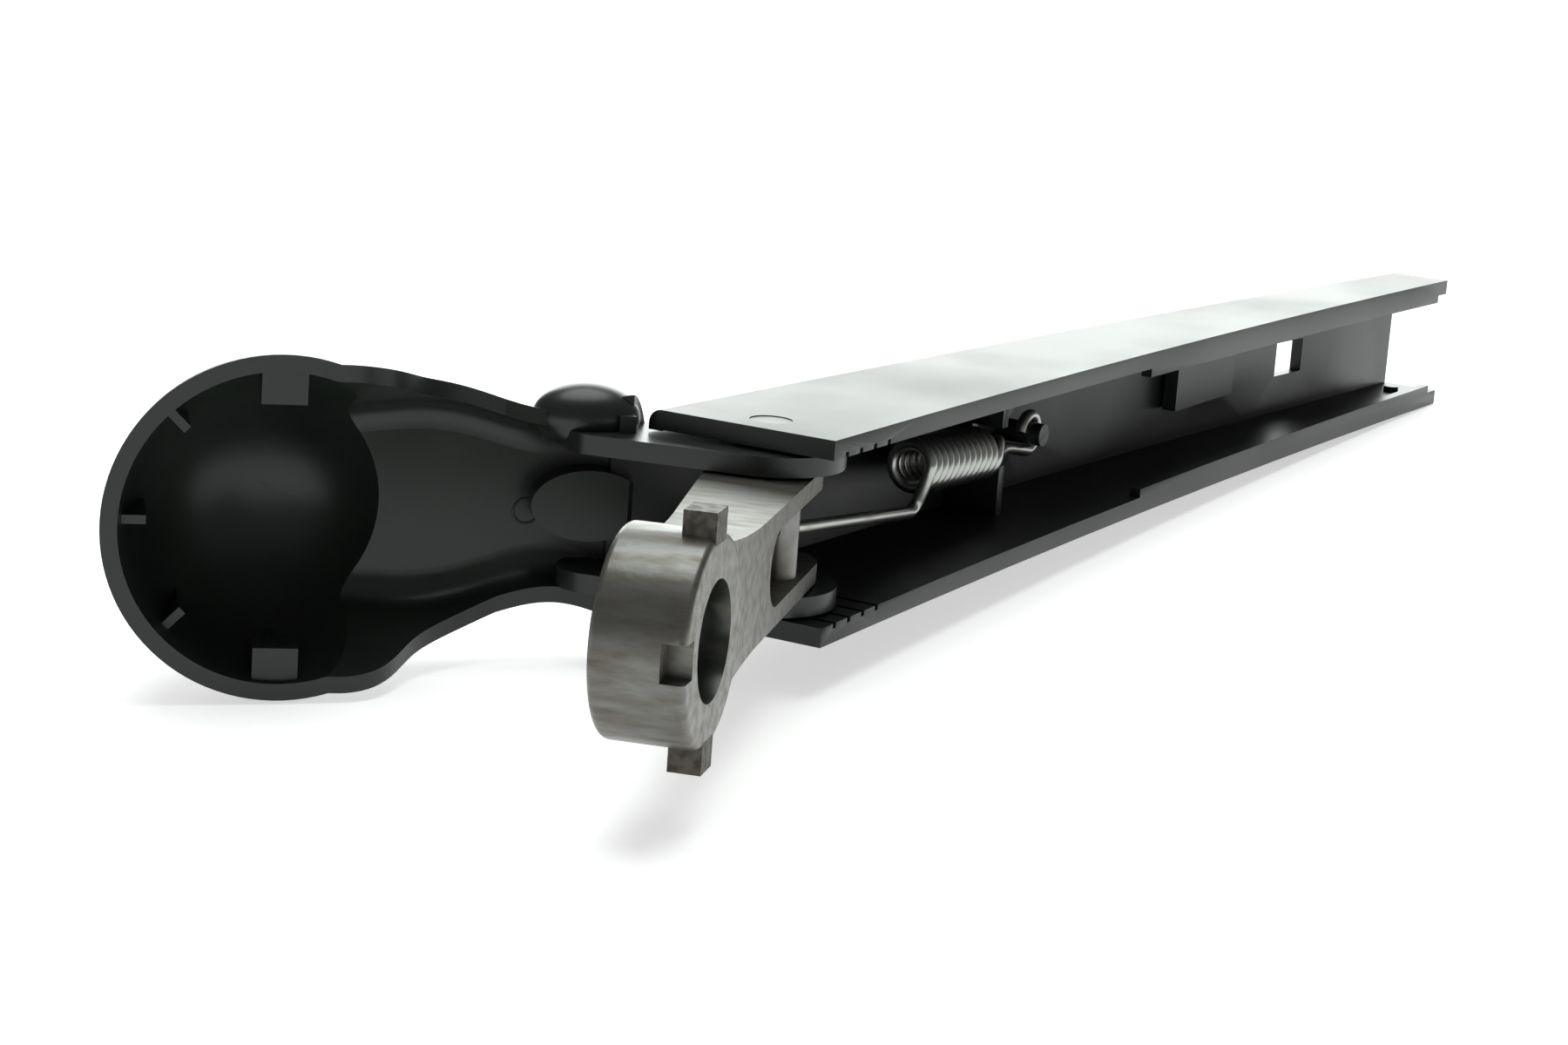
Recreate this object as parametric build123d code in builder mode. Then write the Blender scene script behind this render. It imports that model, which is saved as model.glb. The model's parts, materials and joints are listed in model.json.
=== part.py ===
"""Rear wiper arm with its mounting head, tension spring and open nut cap, in millimetres."""
import os
from math import cos, pi, radians, sin

from build123d import *

# Row frame: X from the spindle bore along the head, Y away from the glass, Z across the arm.
# Origin: on the bore axis, on the glass-side face of the boss.

# Hinge between head, arm and cap
HINGE_X = 56.0
HINGE_Y = 9.0
PIN_RADIUS = 2.5
RUNNING_GAP = 0.05
ARM_ANGLE = -16.0
CAP_ANGLE = -64.0

# Widths across the hinge, from the arm's walls inwards
HALF_WIDTH_HINGE = 12.0
WALL = 2.3
PIN_SINK = 0.15
EAR_THICK = 2.3
EAR_GAP = 0.4
CHEEK_GAP = 0.3
CHEEK_THICK = 2.3
PIN_LENGTH = 2 * (HALF_WIDTH_HINGE - PIN_SINK)
EAR_OUTER = HALF_WIDTH_HINGE - WALL - EAR_GAP
EAR_INNER = EAR_OUTER - EAR_THICK
CHEEK_OUTER = EAR_INNER - CHEEK_GAP
CHEEK_INNER = CHEEK_OUTER - CHEEK_THICK

# Mounting head
BOSS_RADIUS = 11.0
BOSS_HEIGHT = 10.0
BOSS_ROUND = 0.8
SEAT_MOUTH_RADIUS = 6.3
SEAT_LEAD = 2.0
SEAT_TOP_RADIUS = 5.3
STUD_RADIUS = 4.2
STUD_LENGTH = 3.0
LUG_REACH = 13.4
LUG_HEIGHT = 3.5
LUG_WIDTH = 4.0
NOSE_WIDTH = 4.0
NOSE_DEPTH = 3.0
NOSE_HEIGHT = 2.5
NECK_START = 4.0
NECK_RADIUS = 4.0
NECK_FLARE = 2.5
NECK_HALF_WIDTH = CHEEK_OUTER + NECK_FLARE
NECK_WAIST_X = 26.0
CHEEK_RADIUS = 6.5
FORK_START = 30.0
LINK_BACK = 8.0
LINK_DROP = 3.8
LINK_X = HINGE_X - LINK_BACK
LINK_Y = HINGE_Y - LINK_DROP
LINK_Z = 1.0
LINK_RADIUS = 2.2
LINK_BORE_RADIUS = 0.86

# Arm channel, measured from the hinge along the arm and out from the pin
ARM_BACK = 5.5
ARM_TIP = 206.5
OPEN_EDGE = -11.5
EDGE_ARCH = 1.9
WEB_OUT_HINGE = 13.0
WEB_OUT_TIP = -0.8
WEB_ARCH = 1.5
WIDTH_TAPER = 1.55
HALF_WIDTH_TIP = HALF_WIDTH_HINGE - WIDTH_TAPER
WEB_THICK = 1.8
WEB_ROUND = 1.6
WEB_CUT_BACK = 14.0
WEB_END = 198.5
LIP_START = 88.0
LIP_END = 203.0
LIP_WIDTH = 1.2
LIP_DEPTH = 1.5
COMB_FIRST = -2.2
COMB_PITCH = 3.6
COMB_COUNT = 4
COMB_WIDTH = 0.8
COMB_DEPTH = 0.6
COMB_LENGTH = 6.0
BULKHEAD_U = 62.4
BULKHEAD_THICK = 1.6
BULKHEAD_FOOT = 0.0
SLOT_HALF = 2.6
SLOT_TOP = 4.4
POST_U = 77.0
POST_V = 3.0
POST_Z = -0.4
POST_RADIUS = 1.55
POST_HEAD = 2.4
HOLE_START = 163.7
HOLE_LENGTH = 9.3
HOLE_HALF = 2.65
BLOCK_START = 124.5
BLOCK_LENGTH = 22.0
BLOCK_HALF = 3.3
BLOCK_HEIGHT = 1.2
NUB_U = 199.5
NUB_RADIUS = 1.2
NUB_HEIGHT = 0.8

# Tension spring, one wire
WIRE_RADIUS = 0.8
COIL_RADIUS = 2.85
COIL_START = (38.4, 1.0, 0.8)
COIL_END = (60.0, 2.2, -0.7)
COIL_TURNS = 12
COIL_STEPS = 8
LOOP_GAP = 0.12
LOOP_FROM = -100
LOOP_STEP = 30
LOOP_TO = 170
LEG_OVERHANG = 4.5
LEG_STEPS = 6
ELBOW = (0.0, 2.0, -5.8)
ELBOW_ROUND = 2.2
ELBOW_STEPS = 4
TAIL = ((0.7, 0.3, 1.3), (1.2, 0.65, 0.5), (1.2, 0.6, -0.8), (1.0, 0.4, -1.2), (1.5, 0.5, -0.6), (3.0, 0.7, 0.3))

# Nut cap, measured from the hinge in its closed place
CAP_REACH = HINGE_X
CAP_RADIUS = 19.4
CAP_RIM = -9.5
CAP_TOP = 15.0
CAP_LEAN = -0.12
DOME_SIDE = 1.2
DOME_CROWN = 1.2
CAP_WALL = 1.9
CAP_ROUND = 6.0
NECK_BULB = (-CAP_REACH, CAP_RADIUS - 2.4, 7.0, 68.0)
NECK_ROOT = (-46.0, CAP_RADIUS + 0.4, 8.0, 70.0)
NECK_TAPER = (-38.0, HALF_WIDTH_HINGE + 6.9, 9.6, 75.0)
NECK_NARROW = (-30.0, HALF_WIDTH_HINGE + 3.7, 10.8, 80.0)
NECK_WAIST = (-24.0, HALF_WIDTH_HINGE + 1.3, 11.2, 84.0)
NECK_SHOULDER = (-18.0, HALF_WIDTH_HINGE + 1.6, 11.0, 87.0)
NECK_END = (-12.0, HALF_WIDTH_HINGE + 0.3, 9.6, 89.0)
NECK_SECTIONS = (NECK_BULB, NECK_ROOT, NECK_TAPER, NECK_NARROW, NECK_WAIST, NECK_SHOULDER, NECK_END)
RIM_RISE_X = -49.0
RIM_MIDDLE = (-40.0, -2.0)
RIM_HIGH = (-30.0, 4.5)
RIM_SLOPE = 0.35
RIM_END = (-10.0, 6.0)
SHOULDER_CUT = 16.0
EAR_RADIUS = 9.0
EAR_ROOT_X = -18.0
EAR_ROOT_RADIUS = 5.0
EAR_ROOT_Y = 5.4
JOG_X = -17.0
JOG_WIDER = 1.9
JOG_LOW = 3.0
JOG_HIGH = 9.4
TONGUE_INNER = 7.4
TONGUE_OUTER = 9.4
TONGUE_ANGLE = 60.0
PAD_X = -19.5
PAD_LENGTH = 13.6
PAD_HALF = 4.2
PAD_LOW = 5.6
CAP_RIB_COUNT = 5
CAP_RIB_THICK = 1.0
CAP_RIB_DEPTH = 2.2
CAP_RIB_LOW = -6.0
CAP_RIB_HIGH = 4.0
CLIP_WIDTH = 5.0
CLIP_INNER = CAP_RADIUS - 5.7
CLIP_LOW = -8.5
CLIP_HIGH = -3.0

REACH_ALL = 60.0


def side_plane(angle: float) -> Plane:
    """Plane through the hinge seen from the side, turned about the hinge by an angle."""
    along = (cos(radians(angle)), sin(radians(angle)), 0)
    return Plane(origin=(HINGE_X, HINGE_Y, 0), x_dir=along, z_dir=(0, 0, 1))


def plan_plane(angle: float) -> Plane:
    """Plane through the hinge seen from the glass, turned about the hinge by an angle."""
    along = (cos(radians(angle)), sin(radians(angle)), 0)
    inwards = (sin(radians(angle)), -cos(radians(angle)), 0)
    return Plane(origin=(HINGE_X, HINGE_Y, 0), x_dir=along, z_dir=inwards)


def cross_plane(side: Plane, along: float) -> Plane:
    """Plane across a side plane at a distance from the hinge, its own Y pointing outwards."""
    return Plane(origin=side.from_local_coords((along, 0, 0)), x_dir=(0, 0, 1), z_dir=-side.x_dir)


ARM_SIDE = side_plane(ARM_ANGLE)
ARM_PLAN = plan_plane(ARM_ANGLE)
CAP_SIDE = side_plane(CAP_ANGLE)
CAP_PLAN = plan_plane(CAP_ANGLE)


def arm_half_width(along: float) -> float:
    """Outer half width of the arm at a distance from the hinge."""
    share = (along + ARM_BACK) / (ARM_TIP + ARM_BACK)
    return HALF_WIDTH_HINGE + (HALF_WIDTH_TIP - HALF_WIDTH_HINGE) * share


def web_out(along: float) -> float:
    """Outer height of the web above the pin at a distance from the hinge."""
    share = (along + ARM_BACK) / (ARM_TIP + ARM_BACK)
    straight = WEB_OUT_HINGE + (WEB_OUT_TIP - WEB_OUT_HINGE) * share
    return straight + 4 * WEB_ARCH * share * (1 - share)


# Space inside the channel: side view and plan view of the hollow, crossed
MIDDLE = (ARM_TIP - ARM_BACK) / 2
with BuildPart() as hollow:
    with BuildSketch(ARM_SIDE):
        with BuildLine():
            Polyline(
                (-2 * ARM_BACK, WEB_OUT_HINGE - WEB_THICK),
                (-2 * ARM_BACK, 2 * OPEN_EDGE),
                (ARM_TIP + ARM_BACK, 2 * OPEN_EDGE),
                (ARM_TIP + ARM_BACK, WEB_OUT_TIP - WEB_THICK),
                (ARM_TIP, WEB_OUT_TIP - WEB_THICK),
            )
            ThreePointArc(
                (ARM_TIP, WEB_OUT_TIP - WEB_THICK),
                (MIDDLE, web_out(MIDDLE) - WEB_THICK),
                (-ARM_BACK, WEB_OUT_HINGE - WEB_THICK),
            )
            Line((-ARM_BACK, WEB_OUT_HINGE - WEB_THICK), (-2 * ARM_BACK, WEB_OUT_HINGE - WEB_THICK))
        make_face()
    extrude(amount=2 * HALF_WIDTH_HINGE, both=True)
    with BuildSketch(ARM_PLAN):
        with BuildLine():
            Polyline(
                (-2 * ARM_BACK, arm_half_width(-2 * ARM_BACK) - WALL),
                (ARM_TIP + ARM_BACK, arm_half_width(ARM_TIP + ARM_BACK) - WALL),
                (ARM_TIP + ARM_BACK, WALL - arm_half_width(ARM_TIP + ARM_BACK)),
                (-2 * ARM_BACK, WALL - arm_half_width(-2 * ARM_BACK)),
                close=True,
            )
        make_face()
    extrude(amount=REACH_ALL, both=True, mode=Mode.INTERSECT)

# Thicker lips along the open edges towards the tip
with BuildPart() as lips:
    with BuildSketch(ARM_SIDE):
        with BuildLine():
            ThreePointArc((-ARM_BACK, OPEN_EDGE), (MIDDLE, OPEN_EDGE + EDGE_ARCH), (ARM_TIP, OPEN_EDGE))
            Line((ARM_TIP, OPEN_EDGE), (ARM_TIP, OPEN_EDGE + LIP_DEPTH))
            ThreePointArc(
                (ARM_TIP, OPEN_EDGE + LIP_DEPTH),
                (MIDDLE, OPEN_EDGE + EDGE_ARCH + LIP_DEPTH),
                (-ARM_BACK, OPEN_EDGE + LIP_DEPTH),
            )
            Line((-ARM_BACK, OPEN_EDGE + LIP_DEPTH), (-ARM_BACK, OPEN_EDGE))
        make_face()
    extrude(amount=2 * HALF_WIDTH_HINGE, both=True)
    with BuildSketch(ARM_PLAN):
        for side in (1, -1):
            with BuildLine():
                Polyline(
                    (LIP_START, side * (arm_half_width(LIP_START) - WALL / 2)),
                    (LIP_END, side * (arm_half_width(LIP_END) - WALL / 2)),
                    (LIP_END, side * (arm_half_width(LIP_END) - WALL - LIP_WIDTH)),
                    (LIP_START, side * (arm_half_width(LIP_START) - WALL - LIP_WIDTH)),
                    close=True,
                )
            make_face()
    extrude(amount=REACH_ALL, both=True, mode=Mode.INTERSECT)

# Moulded arm channel
with BuildPart() as arm_channel:
    with BuildSketch(ARM_SIDE):
        with BuildLine():
            Line((-ARM_BACK, WEB_OUT_HINGE), (-ARM_BACK, OPEN_EDGE))
            ThreePointArc((-ARM_BACK, OPEN_EDGE), (MIDDLE, OPEN_EDGE + EDGE_ARCH), (ARM_TIP, OPEN_EDGE))
            Line((ARM_TIP, OPEN_EDGE), (ARM_TIP, WEB_OUT_TIP))
            ThreePointArc((ARM_TIP, WEB_OUT_TIP), (MIDDLE, web_out(MIDDLE)), (-ARM_BACK, WEB_OUT_HINGE))
        make_face()
    extrude(amount=2 * HALF_WIDTH_HINGE, both=True)
    with BuildSketch(ARM_PLAN):
        with BuildLine():
            Polyline(
                (-ARM_BACK, HALF_WIDTH_HINGE),
                (ARM_TIP, HALF_WIDTH_TIP),
                (ARM_TIP, -HALF_WIDTH_TIP),
                (-ARM_BACK, -HALF_WIDTH_HINGE),
                close=True,
            )
        make_face()
    extrude(amount=REACH_ALL, both=True, mode=Mode.INTERSECT)
    web_face = arm_channel.faces().sort_by(Axis(ARM_SIDE.origin, ARM_SIDE.y_dir))[-1]
    fillet(web_face.edges().sort_by(SortBy.LENGTH)[-2:], radius=WEB_ROUND)
    add(hollow.part, mode=Mode.SUBTRACT)
    # web cut back at the hinge and ended before the tip
    with BuildSketch(ARM_PLAN):
        with Locations((WEB_CUT_BACK - ARM_TIP / 2, 0)):
            Rectangle(ARM_TIP, 2 * (arm_half_width(WEB_CUT_BACK) - WALL))
        with Locations((WEB_END + ARM_TIP / 2, 0)):
            Rectangle(ARM_TIP, 2 * (arm_half_width(ARM_TIP) - WALL))
    extrude(amount=-REACH_ALL, mode=Mode.SUBTRACT)
    # square hole through the web
    with BuildSketch(ARM_PLAN):
        with Locations((HOLE_START + HOLE_LENGTH / 2, 0)):
            Rectangle(HOLE_LENGTH, 2 * HOLE_HALF)
    extrude(amount=REACH_ALL, both=True, mode=Mode.SUBTRACT)
    add(lips.part)
    # bulkhead with the slot that the spring hook passes
    with BuildSketch(cross_plane(ARM_SIDE, BULKHEAD_U)):
        bulkhead_high = web_out(BULKHEAD_U) - WEB_THICK / 2
        with Locations((0, (bulkhead_high + BULKHEAD_FOOT) / 2)):
            Rectangle(2 * arm_half_width(BULKHEAD_U) - WALL, bulkhead_high - BULKHEAD_FOOT)
        with Locations((0, SLOT_TOP - REACH_ALL / 2)):
            Rectangle(2 * SLOT_HALF, REACH_ALL, mode=Mode.SUBTRACT)
    extrude(amount=-BULKHEAD_THICK)
    # post that holds the spring loop
    with BuildSketch(ARM_PLAN.offset(POST_HEAD - POST_V)):
        with Locations((POST_U, POST_Z)):
            Circle(POST_RADIUS)
    extrude(amount=POST_V - POST_HEAD - web_out(POST_U) + WEB_THICK / 2)
    # raised block inside the web
    with BuildSketch(ARM_PLAN.offset(WEB_THICK + BLOCK_HEIGHT - web_out(BLOCK_START + BLOCK_LENGTH))):
        with Locations((BLOCK_START + BLOCK_LENGTH / 2, 0)):
            Rectangle(BLOCK_LENGTH, 2 * BLOCK_HALF)
    extrude(amount=-BLOCK_HEIGHT - WEB_THICK / 2)
    # comb of thin slots inside the walls at the hinge end
    with BuildSketch(ARM_PLAN.offset(-OPEN_EDGE)):
        for number in range(COMB_COUNT):
            comb_u = COMB_FIRST + number * COMB_PITCH
            with Locations((comb_u, 0)):
                Rectangle(COMB_WIDTH, 2 * (arm_half_width(comb_u) - WALL + COMB_DEPTH))
    extrude(amount=-COMB_LENGTH, mode=Mode.SUBTRACT)
    # small nubs inside the fork at the tip
    nub_inner = arm_half_width(NUB_U) - WALL - NUB_HEIGHT
    for side in (1, -1):
        with BuildSketch(ARM_SIDE.offset(side * nub_inner)):
            with Locations((NUB_U, (OPEN_EDGE + WEB_OUT_TIP) / 2)):
                Circle(NUB_RADIUS)
        extrude(amount=side * (NUB_HEIGHT + WALL / 2))
    # pin holes in both walls
    with BuildSketch(ARM_SIDE):
        Circle(PIN_RADIUS)
    extrude(amount=2 * HALF_WIDTH_HINGE, both=True, mode=Mode.SUBTRACT)
arm_channel.part.label = "arm_channel"

# Neck and cheeks of the mounting head
with BuildPart() as neck:
    with BuildSketch(Plane.XY):
        with Locations((NECK_START, BOSS_HEIGHT / 2)):
            Circle(NECK_RADIUS)
        with Locations((HINGE_X, HINGE_Y)):
            Circle(CHEEK_RADIUS)
        make_hull()
    extrude(amount=NECK_HALF_WIDTH, both=True)
    with BuildSketch(Plane.XZ):
        with BuildLine():
            waist = ((NECK_START + NECK_WAIST_X) / 2, CHEEK_OUTER + (NECK_HALF_WIDTH - CHEEK_OUTER) / 4)
            Line((0, -NECK_HALF_WIDTH), (0, NECK_HALF_WIDTH))
            Line((0, NECK_HALF_WIDTH), (NECK_START, NECK_HALF_WIDTH))
            ThreePointArc((NECK_START, NECK_HALF_WIDTH), waist, (NECK_WAIST_X, CHEEK_OUTER))
            Polyline(
                (NECK_WAIST_X, CHEEK_OUTER),
                (HINGE_X + 2 * CHEEK_RADIUS, CHEEK_OUTER),
                (HINGE_X + 2 * CHEEK_RADIUS, -CHEEK_OUTER),
                (NECK_WAIST_X, -CHEEK_OUTER),
            )
            ThreePointArc((NECK_WAIST_X, -CHEEK_OUTER), (waist[0], -waist[1]), (NECK_START, -NECK_HALF_WIDTH))
            Line((NECK_START, -NECK_HALF_WIDTH), (0, -NECK_HALF_WIDTH))
        make_face()
    extrude(amount=REACH_ALL, both=True, mode=Mode.INTERSECT)
    # fork between the cheeks
    with BuildSketch(Plane.XZ):
        with Locations((FORK_START + CHEEK_INNER, 0)):
            Circle(CHEEK_INNER)
        with Locations((FORK_START + CHEEK_INNER + REACH_ALL / 2, 0)):
            Rectangle(REACH_ALL, 2 * CHEEK_INNER)
    extrude(amount=REACH_ALL, both=True, mode=Mode.SUBTRACT)
    # pin holes in the cheeks
    with BuildSketch(Plane.XY):
        with Locations((HINGE_X, HINGE_Y)):
            Circle(PIN_RADIUS + RUNNING_GAP)
        with Locations((LINK_X, LINK_Y)):
            Circle(LINK_RADIUS)
    extrude(amount=REACH_ALL, both=True, mode=Mode.SUBTRACT)

# Cast mounting head
with BuildPart() as mounting_head:
    with BuildSketch(Plane.XZ):
        Circle(BOSS_RADIUS)
    extrude(amount=-BOSS_HEIGHT)
    fillet(mounting_head.edges().filter_by(GeomType.CIRCLE), radius=BOSS_ROUND)
    for side in (1, -1):
        with BuildSketch(Plane.XZ):
            with Locations((0, side * LUG_REACH / 2)):
                Rectangle(LUG_WIDTH, LUG_REACH)
        extrude(amount=-LUG_HEIGHT)
    add(neck.part)
    # taper seat from the glass side, stud hole beyond it
    with BuildSketch(Plane.XY):
        with BuildLine():
            Polyline(
                (0, 0),
                (SEAT_MOUTH_RADIUS, 0),
                (SEAT_MOUTH_RADIUS, SEAT_LEAD),
                (SEAT_TOP_RADIUS, BOSS_HEIGHT - STUD_LENGTH),
                (STUD_RADIUS, BOSS_HEIGHT - STUD_LENGTH),
                (STUD_RADIUS, 2 * BOSS_HEIGHT),
                (0, 2 * BOSS_HEIGHT),
                close=True,
            )
        make_face()
    revolve(axis=Axis.Y, mode=Mode.SUBTRACT)
    # recess in the nose, open to the glass side
    with BuildSketch(Plane.XZ):
        with Locations((-BOSS_RADIUS, 0)):
            Rectangle(2 * NOSE_DEPTH, NOSE_WIDTH)
    extrude(amount=-NOSE_HEIGHT, mode=Mode.SUBTRACT)
mounting_head.part.label = "mounting_head"

# Steel hinge pin
with BuildPart() as hinge_pin:
    with BuildSketch(Plane.XY.offset(-PIN_LENGTH / 2)):
        with Locations((HINGE_X, HINGE_Y)):
            Circle(PIN_RADIUS)
    extrude(amount=PIN_LENGTH)
hinge_pin.part.label = "hinge_pin"


def blend(start: Vector, corner: Vector, end: Vector, steps: int) -> list:
    """Points of a rounded corner, from start to end, both included."""
    points = []
    for step in range(steps + 1):
        share = step / steps
        points.append(start * (1 - share) ** 2 + corner * (2 * share * (1 - share)) + end * share**2)
    return points


def wire_points() -> list:
    """Centre line of the spring wire in the arm's own directions, from link pin to post."""
    coil_start = Vector(*COIL_START)
    coil_axis = Vector(*COIL_END) - coil_start
    coil_out = Vector(0, 0, 1).cross(coil_axis).normalized()
    coil_up = coil_axis.cross(coil_out).normalized()
    corner = coil_start - coil_out * COIL_RADIUS + Vector(*ELBOW)
    link = ARM_SIDE.to_local_coords(Vector(LINK_X, LINK_Y, LINK_Z))
    leg = (corner - link).normalized()
    leg_start = link - leg * LEG_OVERHANG
    leg_end = corner - leg * ELBOW_ROUND
    rise = (coil_start - coil_out * COIL_RADIUS - corner).normalized()
    points = []
    # leg through the link pin, then the elbow up to the coil
    for step in range(LEG_STEPS):
        points.append(leg_start + (leg_end - leg_start) * (step / LEG_STEPS))
    points += blend(leg_end, corner, corner + rise * ELBOW_ROUND, ELBOW_STEPS)
    # closed coil
    for step in range(COIL_TURNS * COIL_STEPS + 1):
        turn = 2 * pi * step / COIL_STEPS
        middle = coil_start + coil_axis * (step / (COIL_TURNS * COIL_STEPS))
        points.append(middle + (coil_up * sin(turn) - coil_out * cos(turn)) * COIL_RADIUS)
    # hook to the middle line, through the bulkhead slot, loop about the post
    for along, out, up in TAIL:
        points.append(points[-1] + Vector(along, out, up))
    loop = POST_RADIUS + WIRE_RADIUS + LOOP_GAP
    for turn in range(LOOP_FROM, LOOP_TO + 1, LOOP_STEP):
        points.append(Vector(POST_U + loop * cos(radians(turn)), POST_V, POST_Z + loop * sin(radians(turn))))
    return points


with BuildPart() as tension_spring:
    with BuildLine() as wire:
        Spline([ARM_SIDE.from_local_coords(point) for point in wire_points()])
    with BuildSketch(Plane(origin=wire.line @ 0, z_dir=wire.line % 0)):
        Circle(WIRE_RADIUS)
    sweep()
tension_spring.part.label = "tension_spring"

# Steel link pin across the cheeks, drilled for the end of the spring
with BuildPart() as spring_link_pin:
    with BuildSketch(Plane.XY.offset(-CHEEK_OUTER)):
        with Locations((LINK_X, LINK_Y)):
            Circle(LINK_RADIUS)
    extrude(amount=2 * CHEEK_OUTER)
    with BuildSketch(Plane(origin=(LINK_X, LINK_Y, LINK_Z), z_dir=wire.line % 0)):
        Circle(LINK_BORE_RADIUS)
    extrude(amount=2 * LINK_RADIUS, both=True, mode=Mode.SUBTRACT)
spring_link_pin.part.label = "spring_link_pin"


def cap_form(inset: float) -> Part:
    """Body of the nut cap: a domed bulb with a neck towards the hinge, drawn in by an inset."""
    bulb_axis = Axis(CAP_SIDE.from_local_coords((-CAP_REACH, 0, 0)), CAP_SIDE.y_dir)
    low = CAP_RIM - 2 * CAP_WALL
    radius = CAP_RADIUS - inset
    with BuildPart() as form:
        with BuildSketch(CAP_SIDE):
            with BuildLine():
                Polyline(
                    (-CAP_REACH, CAP_TOP - inset),
                    (-CAP_REACH, low),
                    (radius - CAP_REACH, low),
                    (radius - CAP_REACH, CAP_RIM),
                )
                Spline(
                    (radius - CAP_REACH, CAP_RIM),
                    (-CAP_REACH, CAP_TOP - inset),
                    tangents=((CAP_LEAN, 1), (-1, 0)),
                    tangent_scalars=(DOME_SIDE, DOME_CROWN),
                )
            make_face()
        revolve(axis=bulb_axis)
        for along, half, top, lean in NECK_SECTIONS:
            with BuildSketch(cross_plane(CAP_SIDE, along)) as section:
                with Locations((0, (top - inset + low) / 2)):
                    Trapezoid(2 * (half - inset), top - inset - low, lean)
                fillet(section.vertices().group_by(Axis.Y)[-1], radius=CAP_ROUND - inset)
        loft()
    return form.part


cap_outside = cap_form(0)
cap_inside = cap_form(CAP_WALL)

# Ribs and clips inside the bulb
RIB_MIDDLE = CAP_RADIUS - CAP_WALL - CAP_RIB_DEPTH / 2
CLIP_MIDDLE = (CLIP_INNER + CAP_RADIUS - CAP_WALL / 2) / 2
with BuildPart() as cap_ribs:
    with BuildSketch(CAP_PLAN.offset(-CAP_RIB_LOW)):
        with Locations((-CAP_REACH, 0)):
            with PolarLocations(RIB_MIDDLE, CAP_RIB_COUNT, 90, 180, endpoint=True):
                Rectangle(CAP_RIB_DEPTH + CAP_WALL, CAP_RIB_THICK)
    extrude(amount=CAP_RIB_LOW - CAP_RIB_HIGH)
    with BuildSketch(CAP_PLAN.offset(-CLIP_LOW)):
        with Locations((-CAP_REACH, CLIP_MIDDLE), (-CAP_REACH, -CLIP_MIDDLE)):
            Rectangle(CLIP_WIDTH, CAP_RADIUS - CAP_WALL / 2 - CLIP_INNER)
    extrude(amount=CLIP_LOW - CLIP_HIGH)
    # oval pad under the roof at the hinge
    with BuildSketch(CAP_PLAN.offset(-PAD_LOW)):
        with Locations((PAD_X, 0)):
            Ellipse(PAD_LENGTH / 2, PAD_HALF)
    extrude(amount=PAD_LOW - NECK_END[2])
    add(cap_outside, mode=Mode.INTERSECT)

# Moulded nut cap
JOG_OUTER = EAR_OUTER + JOG_WIDER
with BuildPart() as nut_cap:
    add(cap_outside)
    add(cap_inside, mode=Mode.SUBTRACT)
    # rim: low round the bulb, rising along the neck
    with BuildSketch(CAP_SIDE):
        with BuildLine():
            Line((-2 * CAP_REACH, CAP_RIM), (RIM_RISE_X, CAP_RIM))
            Spline((RIM_RISE_X, CAP_RIM), RIM_MIDDLE, RIM_HIGH, tangents=((1, 0), (1, RIM_SLOPE)))
            Polyline(
                RIM_HIGH,
                RIM_END,
                (CAP_REACH, RIM_END[1]),
                (CAP_REACH, -CAP_REACH),
                (-2 * CAP_REACH, -CAP_REACH),
                (-2 * CAP_REACH, CAP_RIM),
            )
        make_face()
    extrude(amount=2 * CAP_RADIUS, both=True, mode=Mode.SUBTRACT)
    add(cap_ribs.part)
    with BuildSketch(CAP_SIDE):
        Circle(SHOULDER_CUT)
    extrude(amount=2 * CAP_RADIUS, both=True, mode=Mode.SUBTRACT)
    # ears on the pin, tied to the side walls by jogs
    for side in (1, -1):
        with BuildSketch(CAP_SIDE.offset(side * EAR_INNER)):
            Circle(EAR_RADIUS)
            with Locations((EAR_ROOT_X, EAR_ROOT_Y)):
                Circle(EAR_ROOT_RADIUS)
            make_hull()
        extrude(amount=side * (EAR_OUTER - EAR_INNER))
        with BuildSketch(cross_plane(CAP_SIDE, JOG_X)):
            with Locations((side * (EAR_INNER + JOG_OUTER) / 2, (JOG_LOW + JOG_HIGH) / 2)):
                Rectangle(JOG_OUTER - EAR_INNER, JOG_HIGH - JOG_LOW)
        extrude(amount=-CAP_WALL)
    # tongue that closes the top between the ears
    with BuildSketch(CAP_SIDE):
        with Locations((JOG_X / 2, (TONGUE_INNER + TONGUE_OUTER) / 2)):
            Rectangle(-JOG_X, TONGUE_OUTER - TONGUE_INNER)
        with BuildLine():
            barrel_outer = CenterArc((0, 0), TONGUE_OUTER, TONGUE_ANGLE, 90 - TONGUE_ANGLE)
            barrel_inner = CenterArc((0, 0), TONGUE_INNER, TONGUE_ANGLE, 90 - TONGUE_ANGLE)
            Line(barrel_outer @ 0, barrel_inner @ 0)
            Line(barrel_outer @ 1, barrel_inner @ 1)
        make_face()
    extrude(amount=(EAR_INNER + EAR_OUTER) / 2, both=True)
    # pin holes in the ears
    with BuildSketch(CAP_SIDE):
        Circle(PIN_RADIUS + RUNNING_GAP)
    extrude(amount=2 * CAP_RADIUS, both=True, mode=Mode.SUBTRACT)
nut_cap.part.label = "nut_cap"

os.makedirs("parts", exist_ok=True)
export_step(arm_channel.part, "parts/arm_channel.step")
export_step(mounting_head.part, "parts/mounting_head.step")
export_step(hinge_pin.part, "parts/hinge_pin.step")
export_step(spring_link_pin.part, "parts/spring_link_pin.step")
export_step(tension_spring.part, "parts/tension_spring.step")
export_step(nut_cap.part, "parts/nut_cap.step")
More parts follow.
